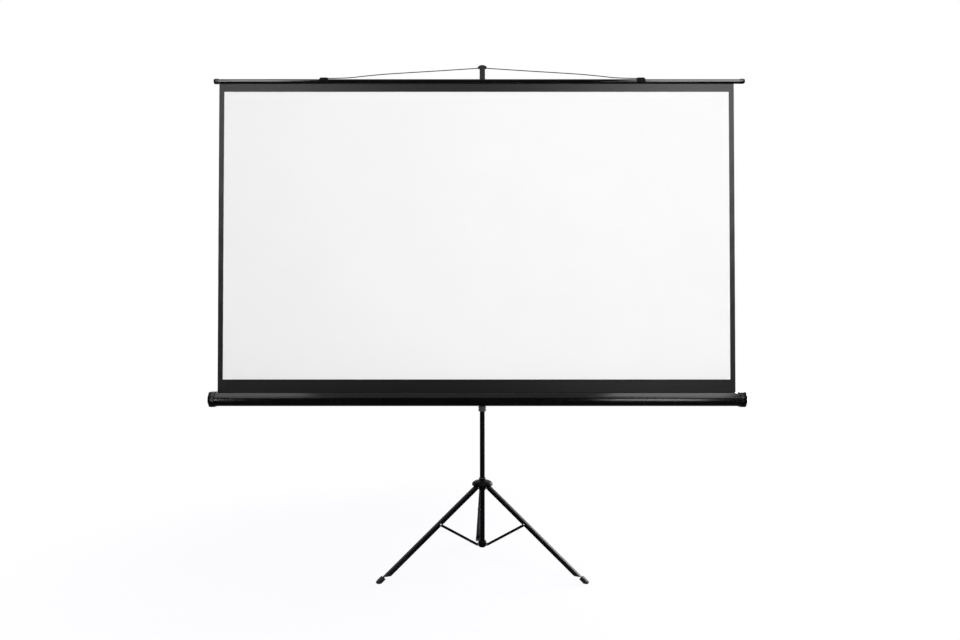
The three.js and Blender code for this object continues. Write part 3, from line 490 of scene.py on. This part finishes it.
def shading_group():
    """Drops the facets' own normals, merges points by distance, smooths all faces, and sharpens the edges
    that bend by more than the corner angle."""
    group = bpy.data.node_groups.new("round_shading", "GeometryNodeTree")
    for way in ("INPUT", "OUTPUT"):
        group.interface.new_socket("Geometry", in_out=way, socket_type="NodeSocketGeometry")
    made = {key: group.nodes.new(kind) for key, kind in SHADING_NODES.items()}
    made["forget"].inputs["Name"].default_value = "custom_normal"
    made["merge"].inputs["Distance"].default_value = JOIN_WITHIN
    made["smooth"].domain = "FACE"
    made["sharp"].domain = "EDGE"
    made["sharp"].inputs["Shade Smooth"].default_value = False
    made["corner"].operation = "GREATER_THAN"
    made["corner"].inputs[1].default_value = CORNER
    for first, second in zip(SHADING_CHAIN, SHADING_CHAIN[1:]):
        group.links.new(made[first].outputs[0], made[second].inputs[0])
    group.links.new(made["angle"].outputs[0], made["corner"].inputs[0])
    group.links.new(made["corner"].outputs[0], made["sharp"].inputs["Selection"])
    return group


round_shading = shading_group()
print("edges that bend by more than", round(math.degrees(CORNER)), "degrees stay sharp")

# %% [markdown]
# Which piece has which finish follows the record's slots, so that a new node in a known slot is dressed by
# itself. A list of nodes would do as well, but it would have to grow with the model. Only the few pieces
# whose plastic isn't the usual one are named.

# %% Finishes on the frame
finish_of_slot = {
    "painted_steel": satin_paint,
    "gloss_steel": gloss_paint,
    "case_metal": case_paint,
    "bright_steel": steel,
    "black_plastic": moulded_plastic,
    "nylon": pale_nylon,
    "rubber": boot_rubber,
    "wire": wire_paint,
    "black_fabric": rolled_vinyl,
    "screen_fabric": rolled_vinyl,
}
finish_of_node = {
    "bar_cap_left": polished_plastic,
    "bar_cap_right": polished_plastic,
    "case_cap_left": cap_plastic,
    "case_cap_right": cap_plastic,
    "hook": charcoal_plastic,
    "column_collar": grey_plastic,
}


def dress(node, material):
    """Gives a frame node its finish and its smooth shading."""
    piece = nodes[node]
    piece.data.materials.clear()
    piece.data.materials.append(material)
    piece.modifiers.new("round_shading", "NODES").node_group = round_shading


for part in frame["record"]["subparts"]:
    dress(part["node"], finish_of_node.get(part["node"], finish_of_slot[part["material_slot"]]))

# %% [markdown]
# The sheet itself. A hung screen is never quite flat: it bows by a millimetre, its side edges curl towards
# the viewer, and cloth that was rolled up keeps faint cross waves. A cloth simulation could find a shape,
# but a stretched sheet hardly moves, and these three are easier to set as a formula. The surface is a
# function of two parameters, across and up, laid on the straight line from the roller to the bar.

# %% Sheet surface
SHEET_THICKNESS = 0.6 * MM
BOW = 1.2 * MM
CURL = 2.2 * MM
CURL_POWER = 8
WAVE_HEIGHT = 0.5 * MM
WAVE_COUNT = 9
WAVE_SWAY = 1.3


def sheet_middle(across, up):
    """x runs along the width and z up. y is the straight lean plus bow, edge curl and waves, each times the
    sine of the way up, so that all three are nil at both ends."""
    held = np.sin(np.pi * up)
    sway = WAVE_SWAY * np.sin(2 * np.pi * across)
    curl = -CURL * (2 * np.abs(across - 0.5)) ** CURL_POWER
    waves = WAVE_HEIGHT * np.sin(2 * np.pi * WAVE_COUNT * up + sway)
    lean = SHEET_THICKNESS / 2 + (sheet_size[1] - SHEET_THICKNESS) * up
    x = sheet_low[0] + sheet_size[0] * across
    y = sheet_low[1] + lean + held * (BOW + curl + waves)
    z = sheet_low[2] + sheet_size[2] * up
    return np.stack([x, y, z], axis=-1)


edge_y, middle_y = sheet_middle(np.array([0, 0.5]), np.array([0.5, 0.5]))[:, 1]
print("half way up, the side edges stand", round((middle_y - edge_y) / MM, 2), "mm in front of the middle")

# %% [markdown]
# Vinyl has a thickness, so the sheet is closed: a front, a back and a rim. A Solidify modifier could do
# that, but the front and back have different finishes, and in arrays it is plain which face is which. The
# whole grid is made at once, with no loop over its points.

# %% Sheet mesh
SHEET_COLUMNS = 121
SHEET_ROWS = 161


def quads(columns, rows, start=0):
    """Corner numbers of the faces of a grid of points, row by row."""
    corner = start + np.arange((rows - 1) * columns).reshape(rows - 1, columns)[:, :-1].ravel()
    return np.stack([corner, corner + 1, corner + columns + 1, corner + columns], axis=-1)


def around(columns, rows):
    """Numbers of the points on the edge of the same grid, once around."""
    number = np.arange(columns * rows).reshape(rows, columns)
    return np.concatenate([number[0], number[1:, -1], number[-1, -2::-1], number[-2:0:-1, 0]])


def closed_sheet(name, middle, edge, front_finish, back_finish):
    """Front and back are the middle surface moved half a thickness each way; a rim of quads joins them."""
    half = np.array([0, SHEET_THICKNESS / 2, 0])
    count = len(middle)
    front = quads(SHEET_COLUMNS, SHEET_ROWS)
    back = quads(SHEET_COLUMNS, SHEET_ROWS, count)[:, ::-1]
    following = np.roll(edge, -1)
    rim = np.stack([edge, edge + count, following + count, following], axis=-1)
    faces = np.concatenate([front, back, rim])
    mesh = bpy.data.meshes.new(name)
    mesh.from_pydata(np.concatenate([middle - half, middle + half]), [], faces.tolist())
    mesh.materials.append(front_finish)
    mesh.materials.append(back_finish)
    number = np.arange(len(faces))
    mesh.polygons.foreach_set("material_index", (number >= len(front)).astype(int))
    mesh.polygons.foreach_set("use_smooth", number < len(front) + len(back))
    return mesh


print("sheet grid", SHEET_COLUMNS, "by", SHEET_ROWS, "points on each side")

# %% [markdown]
# The print and the weave belong to the cloth. Object coordinates would place them nearly as well while the
# sheet hangs still, but they wouldn't stay with the cloth if it were shortened. So every corner of a face is
# told where it lies on the flat sheet. The sheet's edge is a cut, and without a mark the smooth shading would
# run round it, so the rim's edges are marked sharp.

# %% Flat map and cut edge
def lay_flat(mesh, flat):
    """UV map in metres: a face's corner gets its point's place on the flat sheet, front and back alike."""
    corners = np.zeros(len(mesh.loops), int)
    mesh.loops.foreach_get("vertex_index", corners)
    mesh.uv_layers.new(name="flat").uv.foreach_set("vector", np.tile(flat, (2, 1))[corners].ravel())


def sharpen_rim(mesh, edge):
    """An edge is sharp where both its ends lie on the sheet's edge, in front or behind."""
    on_rim = np.zeros(len(mesh.vertices), bool)
    on_rim[np.concatenate([edge, edge + len(on_rim) // 2])] = True
    ends = np.zeros(2 * len(mesh.edges), int)
    mesh.edges.foreach_get("vertices", ends)
    mesh.edges.foreach_set("use_edge_sharp", on_rim[ends].reshape(-1, 2).all(axis=1))


print("the cut edge has", len(around(SHEET_COLUMNS, SHEET_ROWS)), "points on each side")

# %% [markdown]
# Now the sheet is put together. Its flat size is the width and the straight length from roller to bar. The
# picture starts a border's height above the case, and that height is turned into a length along the cloth.
# The piece could be hung on the case that it comes out of, but its free end moves with the bar. So it rides
# with the bar, in the place of the frame's thin solid.

# %% Screen sheet
def link(name, data):
    """An object for a mesh, a lamp or a camera, linked to the scene."""
    made = bpy.data.objects.new(name, data)
    bpy.context.scene.collection.objects.link(made)
    return made


def screen_sheet(width, length):
    """The sheet's surface on an even grid, closed, laid flat in its UV map and sharp at its rim."""
    across, up = np.meshgrid(np.linspace(0, 1, SHEET_COLUMNS), np.linspace(0, 1, SHEET_ROWS))
    middle = sheet_middle(across, up).reshape(-1, 3)
    picture_from = (case_top + BOTTOM_BORDER - sheet_low[2]) * length / sheet_size[2]
    edge = around(SHEET_COLUMNS, SHEET_ROWS)
    mesh = closed_sheet("screen_sheet", middle, edge, screen_front(width, picture_from), screen_back())
    lay_flat(mesh, np.stack([across.ravel() * width, up.ravel() * length], axis=-1))
    sharpen_rim(mesh, edge)
    mesh.update()
    return link("screen_sheet", mesh)


sheet_flat = float(sheet_size[0]), float(np.hypot(sheet_size[1], sheet_size[2]))
sheet = screen_sheet(*sheet_flat)
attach(sheet, "extension")
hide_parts("screen_fabric")
print("screen sheet", [round(side, 3) for side in sheet_flat], "m flat,", len(sheet.data.polygons), "faces")

# %% [markdown]
# As the mast is lowered, the roller takes the sheet in. It could be bent round the roller turn by turn, but
# that is hidden in the case. Here the piece doesn't shorten: from the slide's travel the script works out how
# much of the sheet is still out at the lowest extension, and gives the sheet a mesh of its own.

# %% Sheet left out at the lowest extension
travel = next(joint for joint in frame["joints"] if joint["name"] == "extension_slide")["range_m"]
left_out = float((sheet_size[2] - abs(travel[0])) / sheet_size[2])
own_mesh(sheet)
print("at the lowest extension", round(left_out * float(sheet_size[2]), 3), "m of the sheet is out")

# %% [markdown]
# The hanger is a drawn spring wire that lies over the hook's saddle and ends in two clips on the bar. A
# curve object with a bevel would give it a round section too; here its route is an array, so that it
# repeats the frame's route point by point and its length can be measured. The points are few and listed:
# over the saddle, then in a long shallow run down to each clip.

# %% Route of the hanger wire
WIRE_RISE = 14 * MM
SADDLE_RADIUS = 27 * MM
ON_SADDLE_RADIUS = 25 * MM
ON_SADDLE = 17 * MM
SADDLE_POINTS = 4
SADDLE_FORWARD = 2 * MM
LEAVE = 24 * MM
LEAVE_DROP = 13.8 * MM
IN_CLIP = np.array([-8, 2, 30]) * MM
wire_run = np.array([
    [0, 1],
    [0.055, 0.947],
    [0.239, 0.765],
    [0.454, 0.567],
    [0.638, 0.385],
    [0.776, 0.19],
    [0.831, 0.098],
    [0.883, 0.045],
    [0.945, 0.012],
])


def half_wire(crown, clip):
    """From the saddle to a clip: x is out from the mast and z up from the bar's axis. On the saddle it is an
    arc; on the run x grows by the share of the way out and z falls by the share of the drop that is left."""
    over = np.linspace(0, ON_SADDLE, SADDLE_POINTS)
    arc = crown - SADDLE_RADIUS + np.sqrt(ON_SADDLE_RADIUS**2 - over**2)
    out = LEAVE + (clip - LEAVE) * wire_run[:, 0]
    drop = WIRE_RISE + (crown - LEAVE_DROP - WIRE_RISE) * wire_run[:, 1]
    x = np.concatenate([over, out, clip + IN_CLIP])
    z = np.concatenate([arc, drop, np.full(len(IN_CLIP), WIRE_RISE)])
    return x, z


def wire_points():
    """Half a wire on the right, leaning from the saddle's depth to the bar's, and its mirror on the left."""
    crown = span("hook")[1][2] - bar_axis[2]
    clip = span("wire_clip_right")[0][0] - mast[0]
    x, z = half_wire(crown, clip)
    lean = np.clip((x - LEAVE) / (clip - LEAVE), 0, 1)
    saddle_y = mast[1] - SADDLE_FORWARD
    y = saddle_y + (bar_axis[1] - saddle_y) * lean
    right = np.stack([x, y, bar_axis[2] + z], axis=-1)
    left = right[:0:-1] * [-1, 1, 1]
    return np.concatenate([left, right]) + [mast[0], 0, 0]


route = wire_points()
print("the wire passes", len(route), "points, the highest at", round(float(route[:, 2].max()), 4), "m")

# %% [markdown]
# A wire bends smoothly. A longer list of points would look smooth too, but would be hard to alter, so a
# cubic is drawn through the few points there are, and a circle is carried along it. The circle may change
# its size on the way, which the rivet heads use later.

# %% Smooth path and carried circle
def smooth_path(points, per_span):
    """Each span is a cubic of its four nearest points. It passes through the middle two, and is evaluated
    at evenly spaced parameters."""
    padded = np.concatenate([[2 * points[0] - points[1]], points, [2 * points[-1] - points[-2]]])
    t = np.linspace(0, 1, per_span, endpoint=False)[None, :, None]
    a, b, c, d = (padded[i:len(padded) - 3 + i, None] for i in range(4))
    cubic = 2 * b + (c - a) * t + (2 * a - 5 * b + 4 * c - d) * t**2 + (3 * b - a - 3 * c + d) * t**3
    return np.concatenate([(cubic / 2).reshape(-1, 3), points[-1:]])


def circles(path, radius, sides):
    """A circle at each point of a path, across its tangent, with one axis kept square to Y. The radius is one
    number, or one for each point."""
    tangent = np.gradient(path, axis=0)
    tangent /= np.linalg.norm(tangent, axis=1, keepdims=True)
    across = np.cross(tangent, [0, 1, 0])
    across /= np.linalg.norm(across, axis=1, keepdims=True)
    other = np.cross(across, tangent)
    angle = np.linspace(0, 2 * np.pi, sides, endpoint=False)[None, :, None]
    circle = np.cos(angle) * across[:, None] + np.sin(angle) * other[:, None]
    return (path[:, None] + np.reshape(radius, (-1, 1, 1)) * circle).reshape(-1, 3)


def swept(name, path, radius, sides, finish):
    """The circles joined by quads, with a flat face on each end."""
    points = circles(path, radius, sides)
    row = np.arange(len(path) - 1)[:, None] * sides
    step = np.arange(sides)[None]
    following = (step + 1) % sides
    walls = np.stack([row + step, row + sides + step, row + sides + following, row + following], axis=-1)
    walls = walls.reshape(-1, 4).tolist()
    first = list(range(sides))
    last = [len(points) - 1 - i for i in range(sides)]
    mesh = bpy.data.meshes.new(name)
    mesh.from_pydata(points, [], [*walls, first, last])
    mesh.polygons.foreach_set("use_smooth", np.arange(len(mesh.polygons)) < len(walls))
    mesh.materials.append(finish)
    mesh.update()
    return link(name, mesh)


WIRE_STEPS = 10
wire_path = smooth_path(route, WIRE_STEPS)
print("wire path of", len(wire_path), "points")

# %% [markdown]
# The drawn wire is painted black and stands in the frame wire's place. That one has the same route, so it
# could have been kept, but its section has few sides, and a highlight on it would break into flats.

# %% Hanger wire
WIRE_RADIUS = 2 * MM
WIRE_SIDES = 14

wire = swept("drawn_wire", wire_path, WIRE_RADIUS, WIRE_SIDES, wire_paint)
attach(wire, "extension")
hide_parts("hanger_wire")
wire_length = np.linalg.norm(np.diff(wire_path, axis=0), axis=1).sum()
print("hanger wire", round(float(wire_length), 3), "m long")

# %% [markdown]
# The struts turn on the collar by rivets with bare plated heads, which show as bright dots under the mast.
# The solid has a painted disc there. The heads could be cut from spheres, but a low dome is simply a circle
# carried straight out along the pivot's axis while its radius shrinks to the crown.

# %% Rivet heads on the struts
HEAD_RADIUS = 4.4 * MM
HEAD_FOOT = 7 * MM
HEAD_EDGE = 8 * MM
HEAD_RISE = 1.2 * MM
HEAD_SIDES = 20
DOME = np.radians([0, 15, 30, 45, 60, 72, 82])
UP = (0, 0, 1)


def rivet_head(name, pin, way):
    """From the rim, the radius falls as a cosine and the height grows as a sine of the same angle."""
    low, high = span(pin)
    middle = (low + high) / 2
    outward = (middle - mast) * [1, 1, 0]
    axis = way * np.cross(UP, outward) / np.linalg.norm(outward)
    height = np.concatenate([[HEAD_FOOT], HEAD_EDGE + HEAD_RISE * np.sin(DOME)])
    radius = HEAD_RADIUS * np.concatenate([[1], np.cos(DOME)])
    return swept(name, middle + height[:, None] * axis, radius, HEAD_SIDES, steel)


for side in ("left", "right", "rear"):
    for end, way in {"near": 1, "far": -1}.items():
        head = rivet_head(f"rivet_head_{side}_{end}", f"collar_pin_{side}", way)
        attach(head, f"strut_{side}")
print("rivet heads", round(2 * HEAD_RADIUS / MM, 1), "mm across on each end of three pins")

# %% [markdown]
# The studio floor is plain and pale, and the camera should see it as white. More light on the floor would
# also be more light on the screen, so the floor glows, and only for rays from the camera and from mirrors.
# The camera sees it glow a little less near the feet, where the object's soft shadow shows. Mirrors see it
# white behind the screen and dark in front of it, as they see the room.

# %% Floor
FLOOR_HALF = 40.0
FLOOR_CORNERS = [(-1, -1, 0), (1, -1, 0), (1, 1, 0), (-1, 1, 0)]
FLOOR_SPECKLE = 30.0
FLOOR_DULL, FLOOR_BRIGHT = 0.85, 0.87
FLOOR_ROUGH = 0.9
MIRRORS = ("Is Glossy Ray", "Is Transmission Ray")
DARK_SIDE = 0.02
SHADOW_SHARE = 0.12
SHADOW_FADE = (0.7, 2.4)
LIT_BEHIND = (-0.2, 0.8)


def floor_finish():
    """A matt surface and a glow, mixed by the kind of ray. The camera's share of glow grows with the distance
    from the mast, and the glow is dark for mirrors in front of the screen."""
    finish = Finish("pale_floor")
    from_mast = finish.node("VectorMath", {"operation": "LENGTH"}, {0: finish.place()}, out=1)
    mirror_ray = finish.rays(*MIRRORS)
    near_shadow = (1 - SHADOW_SHARE) + SHADOW_SHARE * from_mast.ramp(*SHADOW_FADE)
    glowing = finish.rays("Is Camera Ray") * near_shadow + mirror_ray
    unlit = mirror_ray * (1 - finish.along(1).ramp(*LIT_BEHIND))
    glow_colour = finish.mix(unlit, grey(1), grey(DARK_SIDE))
    glow = finish.node("Emission", {}, {"Color": glow_colour, "Strength": 1.0})
    colour = finish.mix(finish.noise(FLOOR_SPECKLE), grey(FLOOR_DULL), grey(FLOOR_BRIGHT))
    finish.done(Base_Color=colour, Roughness=FLOOR_ROUGH)
    matt = Signal(finish, finish.surface.outputs[0])
    mixed = finish.node("MixShader", {}, {0: glowing, 1: matt, 2: glow})
    finish.fill(finish.tree.nodes["Material Output"].inputs["Surface"], mixed)
    return finish.made


floor_mesh = bpy.data.meshes.new("floor")
floor_mesh.from_pydata(np.array(FLOOR_CORNERS) * FLOOR_HALF, [], [(0, 1, 2, 3)])
floor_mesh.materials.append(floor_finish())
link("floor", floor_mesh)
print("floor", 2 * FLOOR_HALF, "m across")

# %% [markdown]
# In the photograph the gloss paint is bright near both ends and dark in the middle, because it mirrors the
# lamps at the ends and the unlit space behind the camera in the middle. A white dome all round would wash
# that out. So the surround is white to the camera. Mirrors see it white behind the screen, grey overhead
# and dark in front, and everything else gets a weak even fill from it.

# %% Surround
FILL = 0.35
CEILING = 0.4
BACKDROP_FROM = (0.1, 0.7)
CEILING_FROM = (0.7, 0.98)


def surround():
    """Strength by ray: 1 for the camera, the backdrop or the ceiling for mirrors, and the fill for others."""
    world = bpy.data.worlds.new("studio")
    bpy.context.scene.world = world
    sky = Finish("studio", world)
    camera_ray = sky.rays("Is Camera Ray")
    mirror_ray = sky.rays(*MIRRORS)
    direction = sky.node("TexCoord", out="Generated")
    backdrop = DARK_SIDE + (1 - DARK_SIDE) * sky.along(1, direction).ramp(*BACKDROP_FROM)
    ceiling = CEILING * sky.along(2, direction).ramp(*CEILING_FROM)
    mirrored = mirror_ray * backdrop.larger(ceiling)
    strength = camera_ray + mirrored + (1 - camera_ray - mirror_ray) * FILL
    sky.done(Color=(1, 1, 1, 1), Strength=strength)


surround()
print("surround: fill", FILL, "and ceiling", CEILING)

# %% [markdown]
# The lamps. Two tall soft boxes beside the camera light the screen and make the bright lines on the bar.
# Two low strips draw the line along the case's front, two strips overhead light what faces up, and one box
# behind on the right lights the edges from there. A single sun would light the screen as well, but gloss
# paint would mirror it as a dot.

# %% Soft boxes
boxes = [
    {"name": "soft_box_right", "place": (2.0, -4.25, 3.3), "size": (1.2, 2.4), "power": 90},
    {"name": "soft_box_left", "place": (-2.0, -4.25, 3.3), "size": (0.75, 2.4), "power": 50},
    {"name": "low_strip_right", "place": (1.52, -4.25, 0.4), "size": (0.82, 0.24), "power": 6},
    {"name": "low_strip_left", "place": (-2.5, -4.25, 0.4), "size": (0.4, 0.24), "power": 3.8},
    {"name": "top_strip_right", "place": (1.4, -0.3, 3.6), "size": (0.75, 0.95), "power": 7.2},
    {"name": "top_strip_left", "place": (-1.65, -0.3, 3.6), "size": (0.75, 0.85), "power": 3.6},
    {"name": "rim_box_right", "place": (2.3, 1.7, 1.2), "size": (1.6, 1.6), "power": 120},
]
TARGET_HEIGHT = 1.3
TARGET = Vector((0, float(bar_axis[1]), TARGET_HEIGHT))


def soft_box(name, place, size, power):
    """A rectangle of light at a place, turned to face the middle of the screen."""
    lamp = bpy.data.lights.new(name, "AREA")
    lamp.shape = "RECTANGLE"
    lamp.size, lamp.size_y = size
    lamp.energy = power
    stand = link(name, lamp)
    stand.location = place
    stand.rotation_euler = (TARGET - stand.location).to_track_quat("-Z", "Y").to_euler()


for box in boxes:
    soft_box(**box)
print("soft boxes:", [box["name"] for box in boxes])

# %% [markdown]
# The camera stands square to the screen at about chest height, a little to the left of the mast. It could
# be turned by eye until the picture fits, but the photograph gives it: the width of the screen and the
# spread of the feet fix the distance, and a small shift of the lens sets the horizon.

# %% Camera
IMAGE_WIDTH = 960
IMAGE_HEIGHT = 640
LENS = 35.0
SENSOR = 36.0
CAMERA_FROM_MAST = 4.118
CAMERA_HEIGHT = 1.101
MAST_PIXEL = 482.3
HORIZON_PIXEL = 318.0

pixel_at_mast = CAMERA_FROM_MAST * SENSOR / LENS / IMAGE_WIDTH
camera_data = bpy.data.cameras.new("camera")
camera_data.lens = LENS
camera_data.sensor_width = SENSOR
camera_data.shift_y = (HORIZON_PIXEL - IMAGE_HEIGHT / 2) / IMAGE_WIDTH
camera = link("camera", camera_data)
camera.location = (
    float(mast[0]) - (MAST_PIXEL - IMAGE_WIDTH / 2) * pixel_at_mast,
    float(mast[1]) - CAMERA_FROM_MAST,
    CAMERA_HEIGHT,
)
camera.rotation_euler = (math.pi / 2, 0, 0)
bpy.context.scene.camera = camera
bpy.context.scene.view_settings.view_transform = "Standard"
print("camera at", [round(value, 3) for value in camera.location])
